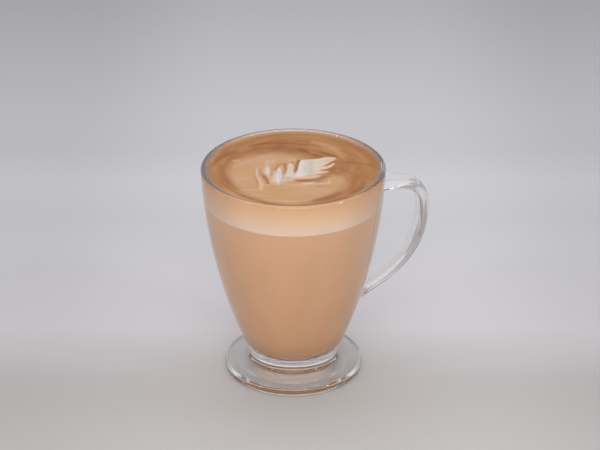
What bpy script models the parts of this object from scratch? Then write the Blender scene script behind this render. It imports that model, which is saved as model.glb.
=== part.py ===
# A latte in a footed glass mug: one piece of clear pressed glass with a strap handle,
# milky coffee in its bowl, and a thick layer of foam on top that carries a poured leaf.
# Units are metres and +Z is up. The origin is on the plane the foot stands on, midway
# between the bowl's far side and the handle's reach. The handle reaches out along +X,
# and the leaf's tip points that way and a little along +Y.

import bpy
import bmesh
from math import atan2, cos, exp, hypot, pi, radians, sin

# Glass
MUG_HEIGHT = 0.1021
RIM_RADIUS = 0.0420
RIM_WALL = 0.0025
BASE_WALL = 0.0034
NECK_RADIUS = 0.0209
NECK_HEIGHT = 0.0102
BELLY_PULL = (0.0306, 0.0300)
SHOULDER_PULL = (0.0407, 0.0650)
WELL_FLOOR = 0.0109
WELL_CORNER = 0.0215
WELL_FLAT = 0.54

# Foot: a disc with a rounded edge that stands on a ring around a shallow hollow
FOOT_RADIUS = 0.0321
FOOT_EDGE = 0.0042
FOOT_TOP = (0.0245, 0.0059)
EDGE_BELOW = (0.0012, 0.0009)
EDGE_ABOVE = (0.0025, 0.0018)
PUNT_RADIUS = 0.0284
PUNT_DEPTH = 0.0022

# Handle: a strap that leaves the bowl level, turns down and runs back in to the bowl
HANDLE_LEVEL = 0.0898
HANDLE_REACH = 0.0608
HANDLE_ELBOW = 0.0753
HANDLE_ROOT = 0.0353
HANDLE_RETURN = (0.0477, 0.0436)
STRAP_WIDTH = 0.0115
STRAP_THICKNESS = 0.0043
ELBOW_THICKNESS = 0.0052
ROOT_FLARE = 0.18
FLARE_LENGTH = 0.0042
ROOT_LEAN = (-0.30, -0.95)

# Drink
FOAM_FLOOR = 0.0867
DRINK_LEVEL = 0.10095
FOAM_DOME = 0.0001
DRINK_GAP = 0.0003
LEAF_RELIEF = 0.0004
LEAF_TURN = radians(12.5)

# Facets
MUG_SEGMENTS = 64
COFFEE_SEGMENTS = 48
FOAM_SEGMENTS = 80
FOAM_RINGS = 20
STRAP_SIDES = 14
STRAP_RINGS = 34


def clear_scene():
    for old in list(bpy.data.objects):
        bpy.data.objects.remove(old, do_unlink=True)


def bezier(p0, p1, p2, p3, steps):
    """Points along a cubic curve in a plane, both ends included."""
    points = []
    for i in range(steps + 1):
        t = i / steps
        u = 1 - t
        weights = (u**3, 3 * u * u * t, 3 * u * t * t, t**3)
        points.append(tuple(sum(w * p[k] for w, p in zip(weights, (p0, p1, p2, p3))) for k in (0, 1)))
    return points


def arc(centre, radii, start, end, steps):
    """Points along an elliptical arc, with angles in degrees."""
    angles = [(start + (end - start) * i / steps) * pi / 180 for i in range(steps + 1)]
    return [(centre[0] + radii[0] * cos(a), centre[1] + radii[1] * sin(a)) for a in angles]


# The bowl's profile


def bowl_outside(steps):
    lip_height = MUG_HEIGHT - RIM_WALL / 2
    return bezier((NECK_RADIUS, NECK_HEIGHT), BELLY_PULL, SHOULDER_PULL, (RIM_RADIUS, lip_height), steps)


def wall_at(height):
    """The wall thins from the bowl's base to its rim."""
    share = (MUG_HEIGHT - height) / (MUG_HEIGHT - WELL_FLOOR)
    return RIM_WALL + (BASE_WALL - RIM_WALL) * share**2


def bowl_inside(steps, gap=0.0):
    """The hollow, from the middle of its floor up to the lip, drawn in by gap."""
    outside = bowl_outside(160)
    upright = [(r - wall_at(z) - gap, z) for r, z in outside if z >= WELL_CORNER]
    corner, above = upright[0], upright[1]
    lean = (corner[0] - above[0]) / (corner[1] - above[1])
    drop = corner[1] - WELL_FLOOR - gap
    turn = (corner[0] - lean * drop, WELL_FLOOR + gap)
    flat = (corner[0] * WELL_FLAT, WELL_FLOOR + gap)
    well = bezier((0.0, WELL_FLOOR + gap), flat, turn, corner, 7)
    stride = max(1, len(upright) // steps)
    picked = upright[stride:-1:stride]
    if upright[-1][1] - picked[-1][1] < 0.6 * (picked[-1][1] - picked[-2][1]):
        picked.pop()
    return well + picked + [upright[-1]]


def foot_outline():
    """From the axis under the foot, over its edge and up to the bowl's neck."""
    punt = [(PUNT_RADIUS * i / 5, PUNT_DEPTH * (1 - (i / 5) ** 2)) for i in range(6)]
    lower = arc((FOOT_RADIUS - EDGE_BELOW[0], EDGE_BELOW[1]), EDGE_BELOW, -90, 0, 3)
    upper = arc((FOOT_RADIUS - EDGE_ABOVE[0], FOOT_EDGE - EDGE_ABOVE[1]), EDGE_ABOVE, 0, 90, 4)
    shoulder = (upper[-1][0] - 0.0016, FOOT_EDGE + 0.0001)
    rise = (FOOT_TOP[0] + 0.0026, FOOT_TOP[1] - 0.0007)
    slope = bezier(upper[-1], shoulder, rise, FOOT_TOP, 3)
    cove = (NECK_RADIUS + 0.00035, FOOT_TOP[1] + 0.0002)
    below_neck = (NECK_RADIUS - 0.0001, FOOT_TOP[1] + 0.0007)
    fillet = bezier(FOOT_TOP, cove, below_neck, (NECK_RADIUS, NECK_HEIGHT), 4)
    return punt + lower + upper + slope[1:-1] + fillet[:-1]


def lip_outline():
    radius = RIM_WALL / 2
    return arc((RIM_RADIUS - radius, MUG_HEIGHT - radius), (radius, radius), 0, 180, 6)[1:-1]


# Meshes


def object_from(mesh_data, name, material):
    mesh = bpy.data.meshes.new(name)
    bmesh.ops.recalc_face_normals(mesh_data, faces=mesh_data.faces)
    mesh_data.to_mesh(mesh)
    mesh_data.free()
    mesh.shade_smooth()
    mesh.set_sharp_from_angle(angle=0.7)
    mesh.materials.append(material)
    obj = bpy.data.objects.new(name, mesh)
    bpy.context.scene.collection.objects.link(obj)
    return obj


def turned(name, outline, segments, material):
    """A solid of revolution about Z. The outline starts and ends on the axis."""
    bm = bmesh.new()
    points = [bm.verts.new((r, 0.0, z)) for r, z in outline]
    edges = [bm.edges.new(pair) for pair in zip(points, points[1:])]
    bmesh.ops.spin(
        bm, geom=points + edges, cent=(0, 0, 0), axis=(0, 0, 1), angle=2 * pi, steps=segments, use_merge=True
    )
    bmesh.ops.remove_doubles(bm, verts=bm.verts, dist=1e-6)
    return object_from(bm, name, material)


def handle_path():
    """The strap's centre line in the XZ plane, with both ends buried in the bowl's wall."""
    start = (RIM_RADIUS - 0.0022, HANDLE_LEVEL)
    elbow = (HANDLE_REACH, HANDLE_ELBOW)
    above = (HANDLE_REACH, HANDLE_ELBOW + 0.0099)
    below = (HANDLE_REACH, HANDLE_ELBOW - 0.0190)
    end = (0.0297, HANDLE_ROOT)
    level = bezier(start, (HANDLE_REACH - 0.0004, HANDLE_LEVEL), above, elbow, STRAP_RINGS // 2)
    return level[:-1] + bezier(elbow, below, HANDLE_RETURN, end, STRAP_RINGS // 2)


def strap_section(width, thickness):
    """A rounded rectangle, as (across, outward) pairs."""
    points = []
    for i in range(STRAP_SIDES):
        a = 2 * pi * (i + 0.5) / STRAP_SIDES
        c, s = cos(a), sin(a)
        across = abs(c) ** 0.62 * (1 if c > 0 else -1)
        outward = abs(s) ** 0.62 * (1 if s > 0 else -1)
        points.append((width / 2 * across, thickness / 2 * outward))
    return points


def blended(first, second, share):
    """The unit direction part of the way from first to second."""
    x = first[0] + (second[0] - first[0]) * share
    z = first[1] + (second[1] - first[1]) * share
    return x / hypot(x, z), z / hypot(x, z)


def handle(material):
    path = handle_path()
    lengths = [0.0]
    for a, b in zip(path, path[1:]):
        lengths.append(lengths[-1] + hypot(b[0] - a[0], b[1] - a[1]))
    whole = lengths[-1]
    bm = bmesh.new()
    rings = []
    for i, (x, z) in enumerate(path):
        before, after = path[max(i - 1, 0)], path[min(i + 1, len(path) - 1)]
        heading = atan2(after[1] - before[1], after[0] - before[0])
        to_end = min(lengths[i], whole - lengths[i])
        along_wall = exp(-(((whole - lengths[i]) / FLARE_LENGTH) ** 2))
        normal = blended((-sin(heading), cos(heading)), ROOT_LEAN, along_wall)
        flare = 1 + ROOT_FLARE * exp(-((to_end / FLARE_LENGTH) ** 2))
        at_elbow = sin(pi * min(1.0, lengths[i] / (0.62 * whole))) ** 2
        thickness = STRAP_THICKNESS + (ELBOW_THICKNESS - STRAP_THICKNESS) * at_elbow
        section = strap_section(STRAP_WIDTH * flare, thickness * flare)
        rings.append([bm.verts.new((x + n * normal[0], y, z + n * normal[1])) for y, n in section])
    for ring, following in zip(rings, rings[1:]):
        for i in range(STRAP_SIDES):
            j = (i + 1) % STRAP_SIDES
            bm.faces.new((ring[i], ring[j], following[j], following[i]))
    bm.faces.new(rings[0])
    bm.faces.new(rings[-1])
    return object_from(bm, "handle", material)


def fuse(target, other):
    """Joins other into target for good, then removes it."""
    union = target.modifiers.new("join", "BOOLEAN")
    union.operation = "UNION"
    union.solver = "EXACT"
    union.object = other
    graph = bpy.context.evaluated_depsgraph_get()
    joined = bpy.data.meshes.new_from_object(target.evaluated_get(graph))
    target.modifiers.clear()
    target.data = joined
    bpy.data.objects.remove(other, do_unlink=True)


# The foam's surface. A leaf is poured in white milk: a broad body that runs out to a tip,
# with feathers under it and fronds beside it. Each stroke is a run of points with the
# stroke's half width, in millimetres, turned by LEAF_TURN to face the drinker.

LEAF_STROKES = {
    "body": (((5.6, -5.4), (6.2, 1.0), (6.6, 4.8)), 4.4),
    "shoulder": (((7.6, -2.0), (10.8, 4.6), (13.4, 8.0)), 3.2),
    "tip": (((13.0, 8.0), (15.6, 9.8), (18.0, 10.6)), 1.8),
    "upper feather": (((10.5, -0.6), (14.2, 0.4), (17.4, 3.8)), 1.0),
    "lower feather": (((9.5, -4.6), (12.6, -4.0), (15.2, -2.9)), 1.0),
    "second frond": (((-1.4, 4.0), (-1.6, -1.0), (-2.4, -7.4)), 1.3),
    "third frond": (((-6.6, -1.2), (-6.7, -8.0), (-7.2, -14.6)), 1.8),
    "fourth frond": (((-11.8, 1.0), (-11.7, -3.0), (-11.3, -7.2)), 1.2),
}


def distance_to_run(x, y, run):
    """Distance from (x, y) to a polyline."""
    best = 1e9
    for (ax, ay), (bx, by) in zip(run, run[1:]):
        dx, dy = bx - ax, by - ay
        t = max(0.0, min(1.0, ((x - ax) * dx + (y - ay) * dy) / (dx * dx + dy * dy)))
        best = min(best, hypot(x - ax - t * dx, y - ay - t * dy))
    return best


def leaf_height(x, y):
    """How far the poured leaf stands out of the foam at x, y in metres, from 0 to 1."""
    right = (x * cos(LEAF_TURN) - y * sin(LEAF_TURN)) * 1000
    away = (x * sin(LEAF_TURN) + y * cos(LEAF_TURN)) * 1000
    height = 0.0
    for run, half_width in LEAF_STROKES.values():
        gap = distance_to_run(right, away, run) / half_width
        height = max(height, exp(-(gap**4)))
    return height


def foam_surface(x, y, radius):
    share = hypot(x, y) / radius
    dome = FOAM_DOME * (1 - share**2)
    return DRINK_LEVEL + dome + LEAF_RELIEF * leaf_height(x, y)


# Pieces


def glass_material():
    material = bpy.data.materials.new("clear glass")
    material.use_nodes = True
    shader = material.node_tree.nodes["Principled BSDF"]
    shader.inputs["Base Color"].default_value = (0.96, 0.97, 0.97, 1)
    shader.inputs["Roughness"].default_value = 0.02
    shader.inputs["Metallic"].default_value = 0.0
    shader.inputs["IOR"].default_value = 1.5
    shader.inputs["Transmission Weight"].default_value = 1.0
    return material


def liquid_material(name, colour, roughness):
    material = bpy.data.materials.new(name)
    material.use_nodes = True
    shader = material.node_tree.nodes["Principled BSDF"]
    shader.inputs["Base Color"].default_value = (*colour, 1)
    shader.inputs["Roughness"].default_value = roughness
    shader.inputs["Metallic"].default_value = 0.0
    return material


def mug():
    glass = glass_material()
    outline = foot_outline() + bowl_outside(15) + lip_outline() + list(reversed(bowl_inside(11)))
    body = turned("mug", outline, MUG_SEGMENTS, glass)
    fuse(body, handle(glass))


def coffee():
    top = FOAM_FLOOR - DRINK_GAP / 2
    side = [point for point in bowl_inside(9, DRINK_GAP) if point[1] < top - 0.003]
    outline = side + [(radius_inside(top), top), (0.0, top)]
    turned("coffee", outline, COFFEE_SEGMENTS, liquid_material("milky coffee", (0.53, 0.33, 0.19), 0.35))


def radius_inside(height):
    """The drink's radius at a height, its gap to the glass taken off."""
    points = bowl_inside(100, DRINK_GAP)
    for (r0, z0), (r1, z1) in zip(points, points[1:]):
        if z0 <= height <= z1 and z1 > z0:
            return r0 + (r1 - r0) * (height - z0) / (z1 - z0)
    return points[-1][0]


def foam():
    floor = FOAM_FLOOR + DRINK_GAP / 2
    levels = [floor + (DRINK_LEVEL - floor) * i / 3 for i in range(4)]
    bm = bmesh.new()
    angles = [2 * pi * i / FOAM_SEGMENTS for i in range(FOAM_SEGMENTS)]
    rings = []
    for level in levels:
        radius = radius_inside(level)
        rings.append([bm.verts.new((radius * cos(a), radius * sin(a), level)) for a in angles])
    edge = radius_inside(DRINK_LEVEL)
    for i in range(FOAM_RINGS - 1, 0, -1):
        radius = edge * i / FOAM_RINGS
        places = [(radius * cos(a), radius * sin(a)) for a in angles]
        rings.append([bm.verts.new((x, y, foam_surface(x, y, edge))) for x, y in places])
    for ring, following in zip(rings, rings[1:]):
        for i in range(FOAM_SEGMENTS):
            j = (i + 1) % FOAM_SEGMENTS
            bm.faces.new((ring[i], ring[j], following[j], following[i]))
    centre = bm.verts.new((0, 0, foam_surface(0, 0, edge)))
    for i in range(FOAM_SEGMENTS):
        bm.faces.new((rings[-1][i], rings[-1][(i + 1) % FOAM_SEGMENTS], centre))
    bm.faces.new(list(reversed(rings[0])))
    object_from(bm, "foam", liquid_material("coffee foam", (0.66, 0.42, 0.24), 0.5))


def centre_along_x():
    """Moves every piece off the bowl's axis, so that the origin is midway along the mug."""
    reach = max(vertex.co.x for vertex in bpy.data.objects["mug"].data.vertices)
    for obj in bpy.data.objects:
        obj.location.x = (RIM_RADIUS - reach) / 2
    print("bowl's axis at x =", (RIM_RADIUS - reach) / 2)


clear_scene()
mug()
coffee()
foam()
centre_along_x()
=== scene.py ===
# A latte in its footed glass mug: the looks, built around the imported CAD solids.
# Sizes are metres, +Z is up and the handle points along +X. Every piece is shaped around the Z axis and
# then moved to the bowl's own axis, which lies beside the origin.
from math import cos, pi, radians, sin

import bmesh
import bpy
import numpy as np
from mathutils import Matrix, Vector, noise


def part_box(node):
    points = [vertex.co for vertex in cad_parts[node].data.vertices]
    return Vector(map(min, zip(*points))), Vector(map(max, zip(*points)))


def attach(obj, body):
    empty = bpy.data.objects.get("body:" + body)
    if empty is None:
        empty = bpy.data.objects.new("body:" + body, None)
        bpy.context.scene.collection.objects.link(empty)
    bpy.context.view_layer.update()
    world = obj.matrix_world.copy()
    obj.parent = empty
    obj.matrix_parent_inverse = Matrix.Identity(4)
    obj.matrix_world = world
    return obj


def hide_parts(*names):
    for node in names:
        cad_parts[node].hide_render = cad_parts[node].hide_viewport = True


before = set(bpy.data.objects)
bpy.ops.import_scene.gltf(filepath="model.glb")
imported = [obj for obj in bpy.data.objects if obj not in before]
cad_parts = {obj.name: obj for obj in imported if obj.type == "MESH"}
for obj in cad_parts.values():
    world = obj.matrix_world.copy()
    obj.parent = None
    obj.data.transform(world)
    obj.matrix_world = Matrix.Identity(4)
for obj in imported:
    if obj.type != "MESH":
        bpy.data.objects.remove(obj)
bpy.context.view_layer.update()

mugLow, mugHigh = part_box("mug")
coffeeLow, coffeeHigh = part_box("coffee")
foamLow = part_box("foam")[0]
mm = 0.001
weldDistance = 1e-6
bowlAxis = Vector((mugLow.x + mugHigh.y, 0, 0))


# Curves and meshes

def bezierPoints(p0, p1, p2, p3, steps):
    t = np.linspace(0, 1, steps + 1)[:, None]
    p0, p1, p2, p3 = (np.array(p, float) for p in (p0, p1, p2, p3))
    return (1 - t)**3 * p0 + 3 * (1 - t)**2 * t * p1 + 3 * (1 - t) * t**2 * p2 + t**3 * p3


def arcPoints(centre, radii, start, end, steps):
    a = np.radians(np.linspace(start, end, steps + 1))
    return np.column_stack([centre[0] + radii[0] * np.cos(a), centre[1] + radii[1] * np.sin(a)])


def addObject(name, data):
    obj = bpy.data.objects.new(name, data)
    bpy.context.scene.collection.objects.link(obj)
    return obj


def pointOutwards(obj):
    # welds what lies on one spot and turns every face outwards
    bm = bmesh.new()
    bm.from_mesh(obj.data)
    bmesh.ops.remove_doubles(bm, verts=bm.verts, dist=weldDistance)
    bmesh.ops.recalc_face_normals(bm, faces=bm.faces)
    bm.to_mesh(obj.data)
    bm.free()
    obj.data.shade_smooth()


def keepMade(obj):
    # what the object's modifiers make takes the place of its own mesh
    made = bpy.data.meshes.new_from_object(obj.evaluated_get(bpy.context.evaluated_depsgraph_get()))
    obj.modifiers.clear()
    obj.data = made


def settle(obj, node):
    # moves a finished piece to the bowl's axis, hangs it under the root body and hides the node that it
    # replaces
    obj.data.transform(Matrix.Translation(bowlAxis))
    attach(obj, "root")
    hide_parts(node)
    print(node, "has", len(obj.data.polygons), "faces")


def ringFaces(ringCount, segments):
    # quads between one ring of points and the next, outside facing out on an outline that runs upwards
    faces = []
    for r in range(ringCount - 1):
        a, b = r * segments, (r + 1) * segments
        for i in range(segments):
            j = (i + 1) % segments
            faces.append((a + i, a + j, b + j, b + i))
    return faces


# Geometry Nodes trees for the pieces that are swept round an axis or along a path

def inXZ(points):
    return np.column_stack([points[:, 0], np.zeros(len(points)), points[:, 1]])


def growMesh(name, points, tree, attributes, **values):
    # gives a tree a run of points with its attributes, and keeps the plain mesh that it makes
    run = bpy.data.meshes.new(name)
    edges = [(i, i + 1) for i in range(len(points) - 1)]
    run.from_pydata([tuple(map(float, point)) for point in points], edges, [])
    for label, vectors in attributes.items():
        given = run.attributes.new(label, "FLOAT_VECTOR", "POINT")
        given.data.foreach_set("vector", np.asarray(vectors, np.float32).ravel())
    obj = addObject(name, run)
    modifier = obj.modifiers.new(name, "NODES")
    modifier.node_group = tree
    for item in tree.interface.items_tree:
        if item.in_out == "INPUT" and item.name in values:
            modifier[item.identifier] = values[item.name]
    keepMade(obj)
    pointOutwards(obj)
    return obj


def sweptSheet(tree, given):
    # a sheet with a row of points for each point of the run: its mesh, and the row and column as fields
    count = addNode(tree, "GeometryNodeAttributeDomainSize")
    plug(tree, given["Run"], count.inputs[0])
    columns = mathNode(tree, "ADD", given["Sides"], 1.0)
    grid = addNode(tree, "GeometryNodeMeshGrid")
    plug(tree, count.outputs["Point Count"], grid.inputs["Vertices X"])
    plug(tree, columns, grid.inputs["Vertices Y"])
    index = addNode(tree, "GeometryNodeInputIndex").outputs[0]
    row = mathNode(tree, "FLOOR", mathNode(tree, "DIVIDE", mathNode(tree, "ADD", index, 0.5), columns))
    column = mathNode(tree, "SUBTRACT", index, mathNode(tree, "MULTIPLY", row, columns))
    return grid.outputs["Mesh"], row, column


def ofRun(tree, given, row, field):
    # the value that a field has at the run's point of that row
    sample = addNode(tree, "GeometryNodeSampleIndex", data_type="FLOAT_VECTOR")
    for source, target in ((given["Run"], "Geometry"), (field, "Value"), (row, "Index")):
        plug(tree, source, sample.inputs[target])
    return sample.outputs[0]


def finishSheet(tree, given, result, sheet, place):
    moved = addNode(tree, "GeometryNodeSetPosition")
    plug(tree, sheet, moved.inputs["Geometry"])
    plug(tree, place, moved.inputs["Position"])
    closed = addNode(tree, "GeometryNodeMergeByDistance")
    plug(tree, moved.outputs[0], closed.inputs["Geometry"])
    closed.inputs["Distance"].default_value = weldDistance
    real = addNode(tree, "GeometryNodeRealizeInstances")
    plug(tree, closed.outputs[0], real.inputs[0])
    painted = addNode(tree, "GeometryNodeSetMaterial")
    plug(tree, real.outputs[0], painted.inputs["Geometry"])
    plug(tree, given["Material"], painted.inputs["Material"])
    plug(tree, painted.outputs[0], result[0])


def makeTurned():
    # turns a run of points in the XZ plane about the Z axis
    tree, given, result = newGroup("turned", (("Run", "Geometry", None), ("Sides", "Int", 240),
                                              ("Material", "Material", None)), (("Surface", "Geometry"),),
                                   "GeometryNodeTree")
    sheet, row, column = sweptSheet(tree, given)
    start = ofRun(tree, given, row, addNode(tree, "GeometryNodeInputPosition").outputs[0])
    spin = addNode(tree, "ShaderNodeVectorRotate", rotation_type="Z_AXIS")
    plug(tree, start, spin.inputs["Vector"])
    angle = mathNode(tree, "DIVIDE", mathNode(tree, "MULTIPLY", column, 2 * pi), given["Sides"])
    plug(tree, angle, spin.inputs["Angle"])
    finishSheet(tree, given, result, sheet, spin.outputs[0])
    return tree


def makeStrap():
    # draws a rounded strap along a run of points. Each has its outward reach and its sideways reach;
    # Corner is 1 for a round section and goes down to 0 for a square one.
    tree, given, result = newGroup("strap", (("Run", "Geometry", None), ("Sides", "Int", 56),
                                             ("Corner", "Float", 0.62), ("Material", "Material", None)),
                                   (("Surface", "Geometry"),), "GeometryNodeTree")
    sheet, row, column = sweptSheet(tree, given)
    step = mathNode(tree, "ADD", column, 0.5)
    angle = mathNode(tree, "DIVIDE", mathNode(tree, "MULTIPLY", step, 2 * pi), given["Sides"])
    place = ofRun(tree, given, row, addNode(tree, "GeometryNodeInputPosition").outputs[0])
    for turn, label in (("COSINE", "sideways"), ("SINE", "outward")):
        wave = mathNode(tree, turn, angle)
        size = mathNode(tree, "POWER", mathNode(tree, "ABSOLUTE", wave), given["Corner"])
        attribute = addNode(tree, "GeometryNodeInputNamedAttribute", data_type="FLOAT_VECTOR")
        attribute.inputs["Name"].default_value = label
        size = mathNode(tree, "MULTIPLY", size, mathNode(tree, "SIGN", wave))
        reach = ofRun(tree, given, row, attribute.outputs["Attribute"])
        place = vectorNode(tree, "ADD", place, vectorNode(tree, "SCALE", reach, size))
    finishSheet(tree, given, result, sheet, place)
    return tree


# Shader helpers

def newMaterial(name, **values):
    material = bpy.data.materials.new(name)
    material.use_nodes = True
    shader = material.node_tree.nodes["Principled BSDF"]
    for key, value in values.items():
        shader.inputs[key.replace("_", " ")].default_value = value
    return material, material.node_tree, shader


def addNode(tree, kind, **settings):
    node = tree.nodes.new(kind)
    for key, value in settings.items():
        setattr(node, key, value)
    return node


def plug(tree, source, target):
    tree.links.new(source, target)


def feed(tree, value, socket):
    # sets a plain value on a socket, or plugs in what another node puts out
    if isinstance(value, (int, float, tuple)):
        socket.default_value = value
    else:
        plug(tree, value, socket)


def mathNode(tree, operation, first, second=None):
    node = addNode(tree, "ShaderNodeMath", operation=operation)
    feed(tree, first, node.inputs[0])
    if second is not None:
        feed(tree, second, node.inputs[1])
    return node.outputs[0]


def vectorNode(tree, operation, first, second=None):
    node = addNode(tree, "ShaderNodeVectorMath", operation=operation)
    feed(tree, first, node.inputs[0])
    if second is not None:
        feed(tree, second, node.inputs["Scale" if operation == "SCALE" else 1])
    return node.outputs["Value" if operation == "LENGTH" else "Vector"]


def axesOf(tree, place):
    axes = addNode(tree, "ShaderNodeSeparateXYZ")
    plug(tree, place, axes.inputs[0])
    return axes.outputs


def fadeOver(tree, value, span, shape="SMOOTHSTEP"):
    # 0 before the span, 1 past it, and the other way round where the span runs down
    node = addNode(tree, "ShaderNodeMapRange", interpolation_type=shape)
    plug(tree, value, node.inputs["Value"])
    feed(tree, span[0], node.inputs["From Min"])
    feed(tree, span[1], node.inputs["From Max"])
    return node.outputs[0]


def mixColour(tree, factor, first, second, blend="MIX"):
    node = addNode(tree, "ShaderNodeMix", data_type="RGBA", blend_type=blend)
    feed(tree, factor, node.inputs["Factor"])
    for socket, value in ((node.inputs[6], first), (node.inputs[7], second)):
        feed(tree, (*value, 1) if isinstance(value, tuple) else value, socket)
    return node.outputs[2]


def tinted(tree, colour, tint):
    return mixColour(tree, 1.0, colour, tint, "MULTIPLY")


def colourRamp(tree, factor, stops):
    node = addNode(tree, "ShaderNodeValToRGB")
    ramp = node.color_ramp
    while len(ramp.elements) < len(stops):
        ramp.elements.new(0.5)
    for element, (place, colour) in zip(ramp.elements, stops):
        element.position = place
        element.color = (*colour, 1)
    plug(tree, factor, node.inputs[0])
    return node.outputs[0]


def linear(red, green, blue):
    # a screen colour, 0 to 255, as the light values that the shaders use
    return tuple(((c / 255 + 0.055) / 1.055)**2.4 if c > 10.3 else c / 255 / 12.92
                 for c in (red, green, blue))


def mixShaders(tree, share, first, second):
    mix = addNode(tree, "ShaderNodeMixShader")
    for source, socket in zip((share, first.outputs[0], second.outputs[0]), mix.inputs):
        plug(tree, source, socket)
    plug(tree, mix.outputs[0], tree.nodes["Material Output"].inputs[0])


def objectPlace(tree):
    return addNode(tree, "ShaderNodeTexCoord").outputs["Object"]


def centredPlace(tree):
    # Object coordinates about the bowl's axis, with X to the drinker's right and Y away
    place = addNode(tree, "ShaderNodeMapping", vector_type="TEXTURE")
    plug(tree, objectPlace(tree), place.inputs[0])
    place.inputs["Location"].default_value = bowlAxis
    place.inputs["Rotation"].default_value[2] = radians(cameraSetup["azimuth"])
    return place.outputs[0]


def newGroup(name, inputs, outputs, kindOfTree="ShaderNodeTree"):
    tree = bpy.data.node_groups.new(name, kindOfTree)
    for label, kind, value in inputs:
        socket = tree.interface.new_socket(name=label, in_out="INPUT", socket_type="NodeSocket" + kind)
        if value is not None:
            socket.default_value = value
    for label, kind in outputs:
        tree.interface.new_socket(name=label, in_out="OUTPUT", socket_type="NodeSocket" + kind)
    return tree, addNode(tree, "NodeGroupInput").outputs, addNode(tree, "NodeGroupOutput").inputs


def useGroup(tree, group, **values):
    node = addNode(tree, "ShaderNodeGroup", node_tree=group)
    for name, value in values.items():
        feed(tree, value, node.inputs[name])
    return node.outputs[0]


def makeStreaks():
    # cloudy streaks: Stretch gives how many there are to the metre each way, and what lies between
    # Low and High is spread over 0 to 1
    inputs = (("Place", "Vector", None), ("Stretch", "Vector", (100, 100, 100)), ("Bend", "Float", 0.6),
              ("Low", "Float", 0.35), ("High", "Float", 0.65))
    tree, given, result = newGroup("streaks", inputs, (("Share", "Float"),))
    cloud = addNode(tree, "ShaderNodeTexNoise")
    plug(tree, vectorNode(tree, "MULTIPLY", given["Place"], given["Stretch"]), cloud.inputs["Vector"])
    cloud.inputs["Scale"].default_value = 1.0
    cloud.inputs["Detail"].default_value = 3.0
    plug(tree, given["Bend"], cloud.inputs["Distortion"])
    plug(tree, fadeOver(tree, cloud.outputs[0], (given["Low"], given["High"]), "LINEAR"), result[0])
    return tree


def makeAroundAxis():
    # a place as its direction from the axis, times Along, and its distance from it, times Across
    tree, given, result = newGroup("aroundAxis", (("Place", "Vector", None), ("Along", "Float", 3.0),
                                                  ("Across", "Float", 1.0)), (("Place", "Vector"),))
    flat = vectorNode(tree, "MULTIPLY", given["Place"], (1, 1, 0))
    along = vectorNode(tree, "SCALE", vectorNode(tree, "NORMALIZE", flat), given["Along"])
    across = addNode(tree, "ShaderNodeCombineXYZ")
    distance = vectorNode(tree, "LENGTH", flat)
    plug(tree, mathNode(tree, "MULTIPLY", distance, given["Across"]), across.inputs[2])
    plug(tree, vectorNode(tree, "ADD", along, across.outputs[0]), result[0])
    return tree


def makeSideShadeShare():
    # how much painted shade and reflection a drink's side gets: 0 in front of the axis and behind it, 1
    # beside it, as the drinker sees it
    tree, given, result = newGroup("sideShadeShare", (("Place", "Vector", None), ("From", "Float", 0.5),
                                                 ("To", "Float", 1.0)), (("Share", "Float"),))
    unit = vectorNode(tree, "NORMALIZE", vectorNode(tree, "MULTIPLY", given["Place"], (1, 1, 0)))
    aside = mathNode(tree, "ABSOLUTE", axesOf(tree, unit)[0])
    plug(tree, fadeOver(tree, aside, (given["From"], given["To"]), "LINEAR"), result[0])
    return tree


def shadeSides(tree, sideShadeShare, colour, tint):
    # paints shade or reflection into a colour where it lies beside the axis, as the drinker sees it
    share = useGroup(tree, sideShadeShare, Place=centredPlace(tree))
    return mixColour(tree, share, colour, tinted(tree, colour, tint))


def makeFoamSkin():
    # the tiny bubbles of a fine foam, as a normal
    tree, given, result = newGroup("foamSkin", (("Place", "Vector", None), ("Bubble", "Float", 0.00025),
                                                ("Depth", "Float", 0.3)), (("Normal", "Vector"),))
    cells = addNode(tree, "ShaderNodeTexVoronoi")
    plug(tree, given["Place"], cells.inputs["Vector"])
    plug(tree, mathNode(tree, "DIVIDE", 1.0, given["Bubble"]), cells.inputs["Scale"])
    bump = addNode(tree, "ShaderNodeBump")
    plug(tree, cells.outputs["Distance"], bump.inputs["Height"])
    plug(tree, given["Depth"], bump.inputs["Strength"])
    plug(tree, given["Bubble"], bump.inputs["Distance"])
    plug(tree, bump.outputs[0], result[0])
    return tree


# Glass

glassLook = {
    "tint": (0.985, 0.992, 0.992),
    "ior": 1.5,
    "roughness": 0.0,
    "lampTint": (0.92, 0.92, 0.92),
    "footTint": (0.30, 0.28, 0.27),
    "footTop": 8.0 * mm,
    "bounces": 2.5,
    "trappedTint": (0.29, 0.26, 0.26),
    "trappedInFoot": (0.80, 0.75, 0.71),
    "trappedInBase": (1.0, 1.0, 1.0),
    "baseTop": 16.0 * mm,
    "trappedInHandle": (0.78, 0.73, 0.71),
}

mugShape = {
    "rimRadius": mugHigh.y,
    "height": mugHigh.z,
    "rimWall": 2.5 * mm,
    "baseWall": 3.4 * mm,
    "neckRadius": 20.9 * mm,
    "neckHeight": 10.2 * mm,
    "bellyPull": (30.6 * mm, 30.0 * mm),
    "shoulderPull": (40.7 * mm, 65.0 * mm),
    "wellFloor": 10.9 * mm,
    "wellCorner": 21.5 * mm,
    "wellFlat": 0.54,
    "puntRadius": 28.4 * mm,
    "puntDepth": 2.2 * mm,
    "footRadius": 32.1 * mm,
    "edgeBelow": (1.2 * mm, 0.9 * mm),
    "edgeAbove": (2.5 * mm, 1.8 * mm),
    "footEdge": 4.2 * mm,
    "footTop": (24.5 * mm, 5.9 * mm),
    "slopePulls": ((-1.6 * mm, 0.1 * mm), (2.6 * mm, -0.7 * mm)),
    "filletPulls": ((0.35 * mm, 0.2 * mm), (-0.1 * mm, 0.7 * mm)),
    "segments": 240,
    "sharpFrom": 32,                  # degrees
}

# how many steps each stretch of the mug's outline has
mugSteps = {"punt": 24, "lowEdge": 10, "highEdge": 14, "slope": 20, "bowl": 64, "lip": 14, "well": 28}

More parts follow.
